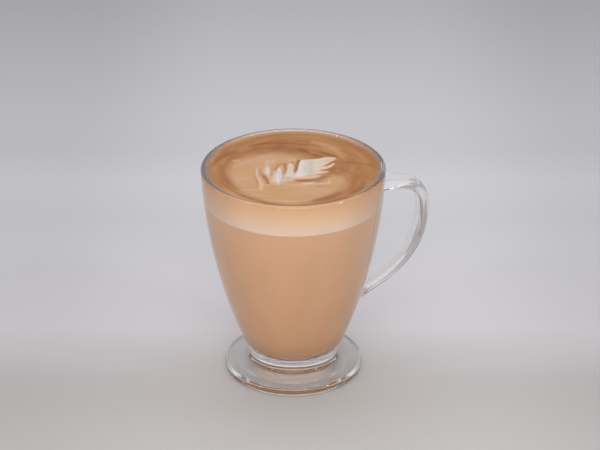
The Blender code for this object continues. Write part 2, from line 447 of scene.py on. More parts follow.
handleShape = {
    "level": 89.8 * mm,
    "reach": 60.8 * mm,
    "elbow": 75.3 * mm,
    "root": (29.7 * mm, 35.3 * mm),
    "returnPull": (47.7 * mm, 43.6 * mm),
    "width": 11.5 * mm,
    "thickness": 4.3 * mm,
    "elbowThickness": 5.2 * mm,
    "flare": 0.18,
    "flareLength": 4.2 * mm,
    "rootLean": (-0.30, -0.95),
    "corner": 0.62,
    "buried": 2.2 * mm,               # how far its upper end starts inside the rim's radius
    "levelPull": 0.4 * mm,
    "abovePull": 9.9 * mm,
    "belowPull": 19.0 * mm,
    "swellTo": 0.62,                  # it swells and thins again over this share of its way
    "sides": 56,
    "rings": 150,
}


def clearGlass():
    look = glassLook
    material, tree, shader = newMaterial("clearGlass", Roughness=look["roughness"], IOR=look["ior"],
                                         Transmission_Weight=1.0, Base_Color=(*look["tint"], 1))
    # lamps shine through the glass, so that it throws no hard black shadow, and light that is turned
    # back inside it many times leaves it dimmed instead of going black
    path = addNode(tree, "ShaderNodeLightPath")
    trapped = mathNode(tree, "GREATER_THAN", path.outputs["Glossy Depth"], look["bounces"])
    passing = mathNode(tree, "MAXIMUM", path.outputs["Is Shadow Ray"], trapped)
    through = addNode(tree, "ShaderNodeBsdfTransparent")
    axes = axesOf(tree, objectPlace(tree))
    inFoot = mathNode(tree, "LESS_THAN", axes[2], look["footTop"])
    inBase = mathNode(tree, "LESS_THAN", axes[2], look["baseTop"])
    inHandle = mathNode(tree, "GREATER_THAN", axes[0], bowlAxis.x + mugShape["rimRadius"])
    lampTint = mixColour(tree, inFoot, look["lampTint"], look["footTint"])
    trappedTint = mixColour(tree, inHandle, look["trappedTint"], look["trappedInHandle"])
    trappedTint = mixColour(tree, inBase, trappedTint, look["trappedInBase"])
    trappedTint = mixColour(tree, inFoot, trappedTint, look["trappedInFoot"])
    plug(tree, mixColour(tree, trapped, lampTint, trappedTint), through.inputs[0])
    mixShaders(tree, passing, shader, through)
    return material


def bowlOutside(steps):
    s = mugShape
    return bezierPoints((s["neckRadius"], s["neckHeight"]), s["bellyPull"], s["shoulderPull"],
                        (s["rimRadius"], s["height"] - s["rimWall"] / 2), steps)


def bowlInside(steps, grow=0.0):
    # the hollow from the middle of its floor up to the lip; grow takes it that far into the glass
    s = mugShape
    outside = bowlOutside(steps)
    share = (s["height"] - outside[:, 1]) / (s["height"] - s["wellFloor"])
    wall = s["rimWall"] + (s["baseWall"] - s["rimWall"]) * share**2
    upright = np.column_stack([outside[:, 0] - wall + grow, outside[:, 1]])
    upright = upright[upright[:, 1] >= s["wellCorner"]]
    corner, above = upright[0], upright[1]
    lean = (corner[0] - above[0]) / (corner[1] - above[1])
    floor = s["wellFloor"] - grow
    turn = (corner[0] - lean * (corner[1] - floor), floor)
    flat = (corner[0] * s["wellFlat"], floor)
    return np.vstack([bezierPoints((0.0, floor), flat, turn, corner, mugSteps["well"]), upright[1:]])


def insideRadius(height, grow=0.0):
    points = bowlInside(drinkFit["measured"], grow)
    return float(np.interp(height, points[:, 1], points[:, 0]))


def mugOutline():
    s, steps = mugShape, mugSteps
    low, high = s["edgeBelow"], s["edgeAbove"]
    share = np.linspace(0, 1, steps["punt"])
    underside = np.column_stack([s["puntRadius"] * share, s["puntDepth"] * (1 - share**2)])
    lower = arcPoints((s["footRadius"] - low[0], low[1]), low, -90, 0, steps["lowEdge"])
    upper = arcPoints((s["footRadius"] - high[0], s["footEdge"] - high[1]), high, 0, 90, steps["highEdge"])
    topX, topZ = s["footTop"]
    (outX, outZ), (inX, inZ) = s["slopePulls"]
    slope = bezierPoints(upper[-1], (s["footRadius"] - high[0] + outX, s["footEdge"] + outZ),
                         (topX + inX, topZ + inZ), s["footTop"], steps["slope"])
    (lowX, lowZ), (highX, highZ) = s["filletPulls"]
    fillet = bezierPoints(s["footTop"], (s["neckRadius"] + lowX, topZ + lowZ),
                          (s["neckRadius"] + highX, topZ + highZ), (s["neckRadius"], s["neckHeight"]),
                          steps["slope"])
    lipRadius = s["rimWall"] / 2
    lipCentre = (s["rimRadius"] - lipRadius, s["height"] - lipRadius)
    lip = arcPoints(lipCentre, (lipRadius, lipRadius), 0, 180, steps["lip"])
    return np.vstack([underside, lower, upper[1:], slope[1:-1], fillet[:-1], bowlOutside(steps["bowl"]),
                      lip[1:-1], bowlInside(steps["bowl"])[::-1]])


def handlePath():
    s, h = mugShape, handleShape
    elbow = (h["reach"], h["elbow"])
    steps = h["rings"] // 2
    level = bezierPoints((s["rimRadius"] - h["buried"], h["level"]),
                         (h["reach"] - h["levelPull"], h["level"]),
                         (h["reach"], h["elbow"] + h["abovePull"]), elbow, steps)
    back = bezierPoints(elbow, (h["reach"], h["elbow"] - h["belowPull"]), h["returnPull"], h["root"], steps)
    return np.vstack([level[:1], level[:-1], back, back[-1:]])


def handleReaches(path):
    # how far the strap's section reaches from each point of its path, outwards and to its side; the
    # path's doubled ends reach nowhere, which closes the strap there
    h = handleShape
    lengths = np.concatenate([[0], np.cumsum(np.hypot(*np.diff(path, axis=0).T))])
    whole = lengths[-1]
    headings = np.gradient(path[1:-1], axis=0)[[0, *range(len(path) - 2), -1]]
    normals = np.column_stack([-headings[:, 1], headings[:, 0]]) / np.hypot(*headings.T)[:, None]
    alongWall = np.exp(-((whole - lengths) / h["flareLength"])**2)[:, None]
    normals = normals + (np.array(h["rootLean"]) - normals) * alongWall
    normals /= np.hypot(*normals.T)[:, None]
    flare = 1 + h["flare"] * np.exp(-(np.minimum(lengths, whole - lengths) / h["flareLength"])**2)
    atElbow = np.sin(pi * np.minimum(1.0, lengths / (h["swellTo"] * whole)))**2
    thick = (h["thickness"] + (h["elbowThickness"] - h["thickness"]) * atElbow) * flare / 2
    wide = h["width"] * flare / 2
    thick[[0, -1]] = wide[[0, -1]] = 0
    none = np.zeros(len(path))
    return {"outward": np.column_stack([normals[:, 0] * thick, none, normals[:, 1] * thick]),
            "sideways": np.column_stack([none, wide, none])}


def buildMug(glass, turned):
    h = handleShape
    body = growMesh("glassMug", inXZ(mugOutline()), turned, {}, Sides=mugShape["segments"], Material=glass)
    path = handlePath()
    strap = growMesh("strap", inXZ(path), makeStrap(), handleReaches(path), Sides=h["sides"],
                     Corner=h["corner"], Material=glass)
    join = body.modifiers.new("join", "BOOLEAN")
    join.operation, join.solver, join.object = "UNION", "EXACT", strap
    keepMade(body)
    body.data.shade_smooth()
    body.data.set_sharp_from_angle(angle=radians(mugShape["sharpFrom"]))
    bpy.data.objects.remove(strap, do_unlink=True)
    body.data.materials.clear()
    body.data.materials.append(glass)
    settle(body, "mug")


# Drink

drinkFit = {
    "intoWall": 0.15 * mm,
    "topEdge": 0.2 * mm,              # the side's own points stop this far below the coffee's top
    "segments": 240,
    "steps": 90,
    "measured": 400,                  # the steps that the bowl's inside is measured with
    "sharpFrom": 40,                  # degrees
    "ior": 1.33,
}

coffeeLook = {
    "top": linear(236, 188, 150),
    "bottom": linear(240, 186, 142),
    # painted reflection: the tint that makes the coffee greyer at its sides, as the drinker sees it
    "side": (0.98, 1.08, 1.14),
    "cloud": 0.94,
    "cloudStretch": (45, 45, 14),
    "roughness": 0.5,
    "liquidAgainstGlass": 0.889,      # 1.333 / 1.5
}

# the tones of the milk go from the left to the right, in millimetres from the axis
foamLook = {
    "bandTop": linear(233, 182, 136),
    "bandMiddle": linear(247, 211, 172),
    "middleAt": 0.45,
    "bandLow": linear(248, 227, 208),
    # painted shade: the tint that darkens the foam's band at its sides, as the drinker sees it
    "side": (0.84, 0.75, 0.74),
    "crema": linear(168, 114, 66),
    "cremaLight": linear(186, 132, 84),
    "roast": linear(142, 82, 50),
    "pool": linear(202, 155, 106),
    "poolRose": linear(208, 162, 130),
    "cut": linear(158, 102, 66),
    "warm": linear(232, 190, 150),
    "edge": linear(192, 154, 120),
    # painted shade: the darker tone of the ring at the glass beside the axis
    "sideEdgeShade": linear(150, 130, 116),
    "milkTones": ((-14.0, (226, 202, 188)), (-8.0, (226, 209, 201)), (-5.5, (219, 212, 209)),
                  (-1.5, (215, 202, 187)), (2.6, (229, 215, 214)), (5.0, (221, 209, 197)),
                  (8.0, (211, 196, 180)), (10.5, (222, 207, 190)), (17.0, (216, 194, 166))),
    "milkSpan": (-16.0, 20.0),
    "milkShade": linear(206, 186, 160),
    "milkCover": 1.25,
    "cutDepth": 0.85,
    "milkStreaks": (520, 90, 90),
    "veinsFrom": (0.50, 0.80),
    # where the painted shade of the ring at the glass begins and is full beside the axis
    "sideShadeFrom": (0.7, 0.95),
    "poolStreaks": (60, 150, 100),
    "ringStreaks": (2.2, 260),
    "bubble": 0.3 * mm,
    "bubbleDepth": 0.12,
    "roughness": 0.5,
    "sheen": 0.25,
}


def mirrorAtGlass(tree, shader, where=None):
    # Beyond about 62.7 degrees, light inside the glass is turned back by the liquid that wets it. This
    # is the dark ring in the lip and the bright slab under the coffee. where limits it to wetted faces.
    edge = addNode(tree, "ShaderNodeFresnel")
    edge.inputs[0].default_value = coffeeLook["liquidAgainstGlass"]
    mirror = addNode(tree, "ShaderNodeBsdfGlossy")
    mirror.inputs["Roughness"].default_value = 0.0
    mirror.inputs["Color"].default_value = (1, 1, 1, 1)
    share = edge.outputs[0]
    if where is not None:
        share = mathNode(tree, "MULTIPLY", share, where)
    mixShaders(tree, share, shader, mirror)


def heightShare(tree, low, high):
    height = axesOf(tree, objectPlace(tree))[2]
    return mathNode(tree, "DIVIDE", mathNode(tree, "SUBTRACT", height, low), high - low)


def milkyCoffee(streaks, sideShadeShare):
    look = coffeeLook
    material, tree, shader = newMaterial("milkyCoffee", Roughness=look["roughness"], IOR=drinkFit["ior"],
                                         Specular_IOR_Level=0.0)
    share = heightShare(tree, coffeeLow.z, coffeeHigh.z)
    body = colourRamp(tree, share, ((0.0, look["bottom"]), (1.0, look["top"])))
    # painted reflection: the coffee turns greyer beside the axis
    body = shadeSides(tree, sideShadeShare, body, look["side"])
    cloud = useGroup(tree, streaks, Place=centredPlace(tree), Stretch=look["cloudStretch"])
    shade = tinted(tree, body, (look["cloud"],) * 3)
    plug(tree, mixColour(tree, cloud, body, shade), shader.inputs["Base Color"])
    mirrorAtGlass(tree, shader)
    return material


def buildCoffee(turned, streaks, sideShadeShare):
    grow = drinkFit["intoWall"]
    top = (coffeeHigh.z + foamLow.z) / 2
    side = bowlInside(drinkFit["steps"], grow)
    side = side[side[:, 1] < top - drinkFit["topEdge"]]
    outline = np.vstack([side, [(insideRadius(top, grow), top), (0.0, top)]])
    body = growMesh("coffeeBody", inXZ(outline), turned, {}, Sides=drinkFit["segments"],
                    Material=milkyCoffee(streaks, sideShadeShare))
    body.data.set_sharp_from_angle(angle=radians(drinkFit["sharpFrom"]))
    settle(body, "coffee")


# The poured leaf and the swirls in the crema, in millimetres as the drinker sees them: x to the right
# and y away. Each stroke has its strength, the softness of its edge, the points that it runs through
# and its half width at each of them.

leafPour = {
    "turn": 12.5,
    "dome": 0.1 * mm,
    "relief": 0.28 * mm,
    "groove": 0.10 * mm,
    "meniscus": 0.55 * mm,
    "meniscusWidth": 0.9 * mm,
    "edgeRing": (1.7, 0.2),
    "darkRing": (2.3, 0.7, 0.13),
    "level": 100.95 * mm,
    "leafEdge": 0.45,
    "poolEdge": 3.2,
    "waver": (4.5, 0.30, 3.7),        # the size, the amount and the seed of each shift
    "drift": (13.0, 1.3, 9.1),
    "seed": 1,
}

leafBody = ((2.9, 7.8), (4.2, 8.7), (8.0, 9.2), (11.6, 9.9), (13.6, 11.2), (16.4, 11.9), (18.7, 11.4),
            (19.0, 10.0), (17.8, 7.6), (16.2, 5.2), (14.8, 3.0), (13.4, 0.6), (12.4, -2.4), (11.6, -5.2),
            (10.2, -7.4), (6.6, -8.2), (3.4, -8.4), (1.2, -8.0), (0.9, -6.4), (1.7, -2.6), (2.3, 1.6),
            (2.5, 5.0))

poolShape = ((-29.4, -6.0), (-28.0, 3.0), (-23.5, 9.8), (-16.5, 13.6), (-8.0, 15.2), (-1.0, 14.8),
             (4.0, 10.4), (12.0, 4.0), (17.4, -6.2), (21.5, -8.0), (24.2, -13.0), (20.8, -21.4),
             (14.2, -28.6), (5.0, -35.0), (-5.0, -36.4), (-15.0, -32.0), (-23.2, -24.4), (-27.6, -14.0))

milkStrokes = (
    (0.90, 0.50, ((10.5, -0.4), (14.2, 0.6), (16.6, 2.6), (18.0, 4.8)), (1.0, 0.9, 0.7, 0.2)),
    (0.90, 0.45, ((9.5, -4.6), (12.6, -4.0), (15.2, -2.9)), (1.0, 0.8, 0.2)),
    (0.75, 0.50, ((7.0, -8.0), (10.0, -8.0), (12.0, -7.6)), (0.9, 0.7, 0.2)),
    (0.70, 0.80, ((-3.0, -8.2), (1.0, -8.8), (5.0, -9.2), (9.0, -8.8)), (1.4, 1.0, 0.6, 0.3)),
    (0.92, 0.80, ((-1.2, 4.2), (-1.3, 1.0), (-1.5, -3.0), (-1.7, -7.4)), (0.8, 1.3, 1.3, 2.0)),
    (1.00, 0.80, ((-6.5, 0.2), (-6.7, -3.6), (-6.7, -8.0), (-6.8, -12.0), (-6.9, -15.0)),
     (0.3, 1.1, 1.4, 1.3, 0.6)),
    (0.60, 1.10, ((-8.4, -3.6), (-8.4, -8.0), (-8.7, -14.0)), (0.5, 1.1, 0.9)),
    (0.60, 0.80, ((0.7, -3.6), (0.3, -7.8)), (0.5, 0.9)),
    (0.45, 1.50, ((-7.2, -12.0), (-7.0, -16.0)), (1.8, 1.4)),
    (0.44, 1.60, ((-4.6, -13.0), (-2.6, -11.6), (0.4, -9.4)), (1.8, 2.4, 1.2)),
    (0.90, 0.95, ((-11.8, 1.4), (-11.8, -1.6), (-11.6, -5.0), (-11.3, -7.6)), (0.4, 1.0, 1.1, 0.4)),
    (0.25, 1.00, ((-11.6, 8.4), (-11.8, 5.0), (-11.8, 2.0)), (0.8, 1.1, 1.1)),
    (0.25, 0.90, ((-9.4, 8.2), (-9.2, 5.4)), (0.7, 0.6)),
    (0.50, 0.50, ((-16.4, 0.2), (-16.5, -4.0), (-16.3, -8.0)), (0.3, 0.6, 0.4)),
)

warmStrokes = (
    (0.95, 0.45, ((11.8, -1.4), (15.0, 0.0), (17.4, 2.4), (18.6, 5.0)), (0.4, 0.6, 0.6, 0.4)),
    (0.90, 0.45, ((10.5, -5.8), (13.2, -5.0), (15.4, -3.5)), (0.4, 0.6, 0.4)),
    (0.70, 0.40, ((8.5, -8.8), (11.0, -8.6), (12.2, -7.8)), (0.3, 0.4, 0.2)),
    (0.85, 0.60, ((0.6, -10.2), (5.0, -10.1), (9.6, -9.3)), (0.6, 0.7, 0.4)),
    (0.60, 0.60, ((16.2, 8.2), (18.0, 9.0), (19.4, 9.2)), (0.5, 0.6, 0.3)),
    (1.00, 0.60, ((4.6, -15.8), (8.2, -15.3), (9.8, -14.2)), (0.8, 0.9, 0.4)),
    (0.70, 0.50, ((4.6, -17.2), (9.0, -16.4), (13.4, -15.9), (15.6, -15.2), (16.2, -13.6), (15.7, -11.8)),
     (0.4, 0.4, 0.5, 0.6, 0.5, 0.3)),
    (0.75, 0.70, ((-15.8, -8.6), (-15.0, -13.0), (-14.4, -17.4), (-14.4, -22.0)), (0.4, 0.8, 1.1, 0.5)),
    (0.55, 0.50, ((-10.7, -8.4), (-10.3, -12.0), (-10.3, -15.5)), (0.5, 0.5, 0.3)),
    (0.35, 0.50, ((-13.2, 0.4), (-13.3, -3.0), (-13.0, -6.0)), (0.3, 0.5, 0.3)),
    (0.45, 0.45, ((0.2, 4.2), (-0.1, 0.6), (-0.5, -3.0)), (0.2, 0.3, 0.2)),
    (0.55, 0.50, ((-5.4, 3.0), (-5.2, 0.4), (-4.9, -2.0)), (0.5, 0.5, 0.2)),
    (0.50, 0.70, ((-27.0, 8.2), (-24.8, 8.4)), (0.8, 0.7)),
    (0.40, 1.50, ((-3.6, -16.6), (2.0, -17.0), (4.4, -17.2)), (0.8, 1.1, 0.7)),
    (0.35, 0.60, ((-12.6, -17.2), (-9.0, -17.0)), (0.6, 0.5)),
    (0.30, 1.00, ((-1.6, 8.2), (0.4, 9.2)), (0.7, 0.7)),
    (0.30, 1.80, ((9.0, 28.6), (15.0, 25.4), (19.4, 20.6), (20.6, 15.6)), (0.9, 1.4, 1.4, 0.6)),
    (0.22, 1.40, ((-35.0, 17.0), (-37.0, 9.0)), (0.4, 0.6)),
    (0.32, 1.00, ((-31.5, -20.5), (-24.5, -28.6), (-14.0, -35.0)), (0.3, 1.0, 0.4)),
    (0.22, 0.90, ((-12.0, -31.6), (-4.0, -33.4), (5.0, -32.6), (13.0, -27.8)), (0.4, 0.9, 0.8, 0.3)),
    (0.26, 1.00, ((14.0, 22.6), (18.6, 19.6), (21.4, 15.0), (22.4, 11.6)), (0.4, 0.8, 0.9, 0.5)),
)

cutStrokes = (
    (1.00, 0.50, ((2.5, 8.6), (1.9, 5.0), (1.5, 1.0), (1.1, -2.2), (0.3, -5.2)), (0.8, 0.7, 0.65, 0.5, 0.1)),
    (0.55, 0.50, ((18.6, 7.4), (16.9, 5.0), (15.2, 3.0), (13.4, 1.8)), (0.5, 0.7, 0.6, 0.1)),
    (0.55, 0.45, ((16.4, -1.0), (14.2, -2.4), (12.2, -3.0)), (0.6, 0.55, 0.1)),
    (0.60, 0.45, ((15.0, -5.0), (12.8, -6.2), (9.4, -6.9)), (0.7, 0.6, 0.1)),
    (0.30, 0.50, ((11.0, -8.2), (8.4, -8.0), (5.4, -8.3)), (0.3, 0.35, 0.2)),
    (0.70, 0.70, ((-3.9, 4.8), (-3.8, 1.0), (-3.8, -2.4), (-3.7, -5.4)), (1.0, 0.8, 0.5, 0.1)),
    (0.50, 0.60, ((-8.4, -2.6), (-8.0, 0.6), (-6.9, 3.4), (-5.6, 5.2)), (0.4, 0.7, 0.6, 0.4)),
    (0.90, 0.60, ((-13.5, -6.8), (-12.8, -9.2), (-12.0, -12.0), (-11.3, -15.8)), (0.5, 1.0, 0.85, 0.5)),
    (0.45, 0.50, ((-17.2, -8.4), (-16.7, -12.0), (-15.7, -18.0)), (0.3, 0.45, 0.4)),
    (0.35, 0.50, ((-14.9, -1.6), (-14.8, -5.0), (-14.6, -7.6)), (0.3, 0.5, 0.4)),
    (0.30, 0.60, ((-9.9, 0.4), (-10.0, -4.0), (-9.9, -8.0)), (0.2, 0.3, 0.2)),
    (0.95, 1.00, ((1.4, -12.5), (4.2, -12.7), (8.0, -12.4), (11.2, -11.2), (14.0, -8.2)),
     (0.7, 1.4, 1.4, 1.4, 1.0)),
    (0.50, 1.20, ((11.0, -13.6), (13.0, -11.4), (14.8, -9.0)), (1.4, 1.6, 1.3)),
    (0.35, 0.70, ((10.8, -18.6), (13.4, -18.4)), (0.7, 0.6)),
    (0.35, 0.60, ((-0.8, 6.8), (0.0, 5.8)), (0.8, 0.6)),
    (0.20, 0.50, ((14.2, 2.4), (10.5, 0.2), (6.5, -1.4), (4.0, -2.0)), (0.6, 0.4, 0.3, 0.1)),
    (0.20, 0.50, ((13.0, -2.8), (9.5, -3.6), (6.5, -4.2), (4.0, -4.4)), (0.6, 0.4, 0.3, 0.1)),
    (0.20, 0.50, ((12.8, -6.2), (8.6, -6.4), (5.0, -6.6)), (0.5, 0.4, 0.2)),
    (0.16, 0.60, ((16.4, 8.2), (12.0, 6.0), (7.5, 3.2)), (0.5, 0.4, 0.1)),
)

roastStrokes = (
    (0.75, 1.8, ((-37.0, 4.0), (-33.5, 11.0), (-29.5, 16.0), (-26.5, 18.0)), (0.6, 1.4, 1.4, 0.6)),
    (0.75, 1.6, ((-20.5, 24.6), (-16.0, 26.2), (-8.5, 27.4), (0.0, 26.8), (5.0, 25.0)),
     (0.5, 1.2, 1.4, 1.1, 0.6)),
    (0.50, 2.4, ((-18.5, 20.2), (-13.0, 22.0), (-5.0, 22.4), (4.0, 20.4)), (0.8, 2.6, 2.8, 1.6)),
    (0.95, 1.4, ((1.0, 20.6), (4.0, 18.6), (6.6, 16.4)), (0.6, 1.4, 0.7)),
    (0.85, 1.3, ((8.6, 14.2), (11.0, 13.4), (13.4, 12.6)), (0.9, 1.2, 0.5)),
    (0.85, 1.1, ((12.6, 17.4), (16.4, 15.2), (19.4, 13.2)), (0.5, 1.1, 0.7)),
    (0.55, 1.2, ((-12.0, 30.6), (-8.0, 31.2), (-3.0, 30.4)), (0.3, 0.7, 0.3)),
    (0.60, 1.2, ((20.8, 7.2), (27.0, 6.2), (31.0, 4.6), (35.4, 2.0)), (0.5, 0.9, 0.8, 0.6)),
    (0.50, 1.4, ((18.6, 0.8), (21.6, -1.8), (25.6, -4.4)), (0.5, 1.1, 0.6)),
    (0.45, 1.8, ((19.6, 9.0), (19.2, 3.0), (17.4, -4.0), (15.8, -8.0)), (0.6, 1.3, 1.4, 1.0)),
    (0.70, 1.8, ((31.5, -15.0), (28.4, -21.0), (25.4, -26.0)), (0.8, 1.5, 0.9)),
    (0.60, 1.8, ((20.0, -25.4), (15.6, -29.6), (9.0, -33.0)), (1.0, 1.5, 1.0)),
    (0.36, 1.6, ((23.6, -10.5), (26.3, -15.0), (25.0, -21.0)), (0.5, 0.9, 0.6)),
    (0.50, 1.0, ((-24.0, -26.8), (-18.0, -31.8), (-9.0, -36.2), (2.0, -37.6), (13.0, -35.8), (24.0, -29.5)),
     (0.5, 1.1, 0.9, 0.7, 1.1, 0.8)),
    (0.42, 2.0, ((-33.0, 3.0), (-31.8, -6.0), (-28.8, -16.0), (-25.4, -21.4)), (1.2, 1.7, 1.4, 0.7)),
    (0.35, 1.8, ((25.0, 27.5), (30.4, 21.0), (34.6, 12.0)), (0.6, 1.4, 0.8)),
)


def smoothRun(points, widths=None, steps=6, closed=False):
    # a Catmull-Rom curve through the points, with the half widths carried along it
    p = np.array(points, float)
    w = np.zeros(len(p)) if widths is None else np.array(widths, float)
    rows = np.column_stack([p, w])
    if closed:
        rows = np.vstack([rows[-1], rows, rows[:2]])
    else:
        rows = np.vstack([2 * rows[0] - rows[1], rows, 2 * rows[-1] - rows[-2]])
    t = np.linspace(0, 1, steps, endpoint=False)[:, None]
    spans = []
    for a, b, c, d in zip(rows, rows[1:], rows[2:], rows[3:]):
        spans.append(b + 0.5 * t * (c - a + t * (2 * a - 5 * b + 4 * c - d + t * (3 * (b - c) + d - a))))
    return np.vstack(spans + [rows[-2:-1]])


def distanceToRun(u, v, run):
    # how far each place lies outside the stroke, less than nothing inside it
    best = np.full(u.shape, 1e9)
    for (ax, ay, aw), (bx, by, bw) in zip(run, run[1:]):
        dx, dy = bx - ax, by - ay
        t = np.clip(((u - ax) * dx + (v - ay) * dy) / (dx * dx + dy * dy + 1e-12), 0, 1)
        gap = np.hypot(u - ax - t * dx, v - ay - t * dy) - (aw + (bw - aw) * t)
        best = np.minimum(best, gap)
    return best


def distanceToShape(u, v, outline):
    run = smoothRun(outline, closed=True)
    gap = distanceToRun(u, v, run)
    inside = np.zeros(u.shape, bool)
    for (ax, ay, _), (bx, by, _) in zip(run, run[1:]):
        crosses = (ay > v) != (by > v)
        inside ^= crosses & (u < (bx - ax) * (v - ay) / (by - ay + 1e-12) + ax)
    return np.where(inside, -gap, gap)


def softMask(gap, softness):
    t = np.clip(0.5 - gap / (2 * softness), 0, 1)
    return t * t * (3 - 2 * t)


def strokeField(u, v, strokes):
    field = np.zeros(u.shape)
    for strength, softness, points, widths in strokes:
        mask = strength * softMask(distanceToRun(u, v, smoothRun(points, widths)), softness)
        field = np.maximum(field, mask)
    return field


def wavered(u, v, size, amount, seed):
    # shifts places by a slow noise, so that the strokes have the wavy edges of poured milk
    shift = np.array([noise.noise_vector((a / size, b / size, seed)) for a, b in zip(u, v)])
    return u + amount * shift[:, 0], v + amount * shift[:, 1]


def pourFields(x, y):
    # x and y in metres; gives the share of each paint of the pour at each place, from 0 to 1
    p = leafPour
    turn = radians(p["turn"])
    noise.seed_set(p["seed"])         # without it, the noise is another one in each run
    u = (x * cos(turn) - y * sin(turn)) / mm
    v = (x * sin(turn) + y * cos(turn)) / mm
    lu, lv = wavered(u, v, *p["waver"])
    su, sv = wavered(u, v, *p["drift"])
    body = softMask(distanceToShape(lu, lv, leafBody), p["leafEdge"])
    cut = strokeField(lu, lv, cutStrokes)
    return {"milk": np.maximum(body, strokeField(lu, lv, milkStrokes)) * (1 - cut),
            "cut": cut,
            "warm": strokeField(lu, lv, warmStrokes),
            "roast": strokeField(su, sv, roastStrokes),
            "pool": softMask(distanceToShape(su, sv, poolShape), p["poolEdge"])}


def milkOverCrema(tree, look, masks, streaks, sideShadeShare, aroundAxis):
    # the poured surface: crema with streaks round the bowl, the paler pool, the leaf over both, and the ring
    # at the glass, with painted shade where it lies beside the axis as the drinker sees it
    place = centredPlace(tree)
    along, across = look["ringStreaks"]
    ring = useGroup(tree, aroundAxis, Place=place, Along=along, Across=float(across))
    stripes = useGroup(tree, streaks, Place=ring, Stretch=(1, 1, 1))
    crema = mixColour(tree, stripes, look["crema"], look["cremaLight"])
    clouds = useGroup(tree, streaks, Place=place, Stretch=look["poolStreaks"])
    top = mixColour(tree, masks["pool"], crema, mixColour(tree, clouds, look["pool"], look["poolRose"]))
    top = mixColour(tree, masks["roast"], top, look["roast"])
    left, right = look["milkSpan"]
    aside = mathNode(tree, "SUBTRACT", axesOf(tree, place)[0], left * mm)
    tones = [((u - left) / (right - left), linear(*tone)) for u, tone in look["milkTones"]]
    milk = colourRamp(tree, mathNode(tree, "DIVIDE", aside, (right - left) * mm), tones)
    low, high = look["veinsFrom"]
    veins = useGroup(tree, streaks, Place=place, Stretch=look["milkStreaks"], Low=low, High=high)
    milk = mixColour(tree, veins, milk, look["milkShade"])
    cover = mathNode(tree, "MINIMUM", mathNode(tree, "MULTIPLY", masks["milk"], look["milkCover"]), 1.0)
    top = mixColour(tree, cover, top, milk)
    top = mixColour(tree, masks["warm"], top, look["warm"])
    top = mixColour(tree, mathNode(tree, "MULTIPLY", masks["cut"], look["cutDepth"]), top, look["cut"])
    # painted shade: the ring at the glass is darker beside the axis
    low, high = look["sideShadeFrom"]
    beside = useGroup(tree, sideShadeShare, Place=place, From=low, To=high)
    return mixColour(tree, masks["ring"], top, mixColour(tree, beside, look["edge"], look["sideEdgeShade"]))


def coffeeFoam(streaks, sideShadeShare, aroundAxis, foamSkin):
    look = foamLook
    material, tree, shader = newMaterial("coffeeFoam", Roughness=look["roughness"], IOR=drinkFit["ior"],
                                         Specular_IOR_Level=look["sheen"])
    share = heightShare(tree, foamLow.z, leafPour["level"])
    band = colourRamp(tree, share, ((0.0, look["bandLow"]), (look["middleAt"], look["bandMiddle"]),
                                    (1.0, look["bandTop"])))
    # painted shade: the band is darker beside the axis
    band = shadeSides(tree, sideShadeShare, band, look["side"])
    masks = {name: addNode(tree, "ShaderNodeAttribute", attribute_name=name).outputs["Fac"]
             for name in ("surface", "milk", "cut", "warm", "roast", "pool", "ring")}
    top = milkOverCrema(tree, look, masks, streaks, sideShadeShare, aroundAxis)
    plug(tree, mixColour(tree, masks["surface"], band, top), shader.inputs["Base Color"])
    skin = useGroup(tree, foamSkin, Place=centredPlace(tree), Bubble=look["bubble"],
                    Depth=look["bubbleDepth"])
    plug(tree, skin, shader.inputs["Normal"])
    mirrorAtGlass(tree, shader, mathNode(tree, "SUBTRACT", 1.0, masks["surface"]))
    return material


# The surface's rings lie closer together within the fine radius, where the leaf is. A hair is left
# between the foam's floor and the coffee, and between its side and the first ring.
foamMesh = {
    "segments": 480,
    "sideRows": 20,
    "rings": 38,
    "fineRadius": 22.5 * mm,
    "fineRings": 92,
    "hair": 0.02 * mm,
    "sharpFrom": 60,                  # degrees
}


